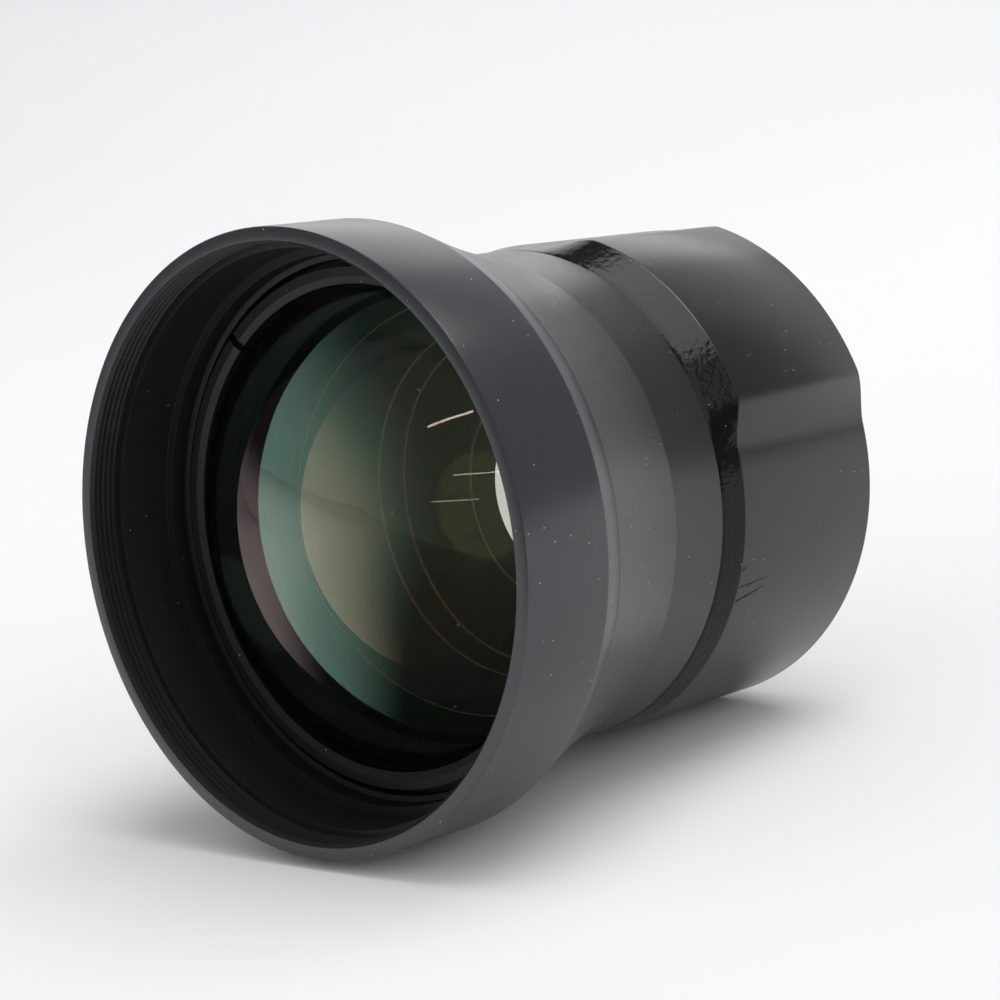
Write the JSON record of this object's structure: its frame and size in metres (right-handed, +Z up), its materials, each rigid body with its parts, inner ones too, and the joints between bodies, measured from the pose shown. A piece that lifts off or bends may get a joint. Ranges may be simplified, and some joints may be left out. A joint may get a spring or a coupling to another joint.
{
  "type": "tele conversion lens",
  "caption": "Round afocal tele conversion lens: wide bell with coated front glass, waisted barrel and a sleeve with two raised pads, lying on its side.",
  "frame": {"origin": "on the table, under the middle of the lens as it lies", "axes": "+Z up; the glass faces -Y and the mount thread +Y, with the axis falling about 5 degrees towards +Y; +X to the right seen from the front"},
  "size_m": [0.0701, 0.0768, 0.0709],
  "materials": {
    "black_anodised": "satin black anodised",
    "black_ring": "matte black anodised",
    "coated_glass": "polished, with an anti-reflection coating",
    "brass_shim": "rolled",
    "steel_screw": "blackened",
    "black_sleeve": "fine orange peel, satin"
  },
  "bodies": {
    "root": {"front_hood_ring": "black_anodised", "main_barrel": "black_anodised", "front_retaining_ring": "black_ring", "front_element": "coated_glass", "front_spacer_ring": "black_ring", "second_element": "coated_glass", "third_element": "coated_glass", "baffle_ring": "black_ring", "light_trap_tube": "black_ring", "cell_carrier_ring": "black_ring", "carrier_lock_ring": "black_ring", "rear_cell_shim": "brass_shim", "rear_cell": "black_ring", "fourth_element": "coated_glass", "rear_spacer_ring": "black_ring", "fifth_element": "coated_glass", "rear_retaining_ring": "black_ring", "rear_light_stop": "black_ring", "mount_ring": "black_anodised", "mount_grub_screws": "steel_screw", "grip_sleeve": "black_sleeve"}
  },
  "joints": []
}
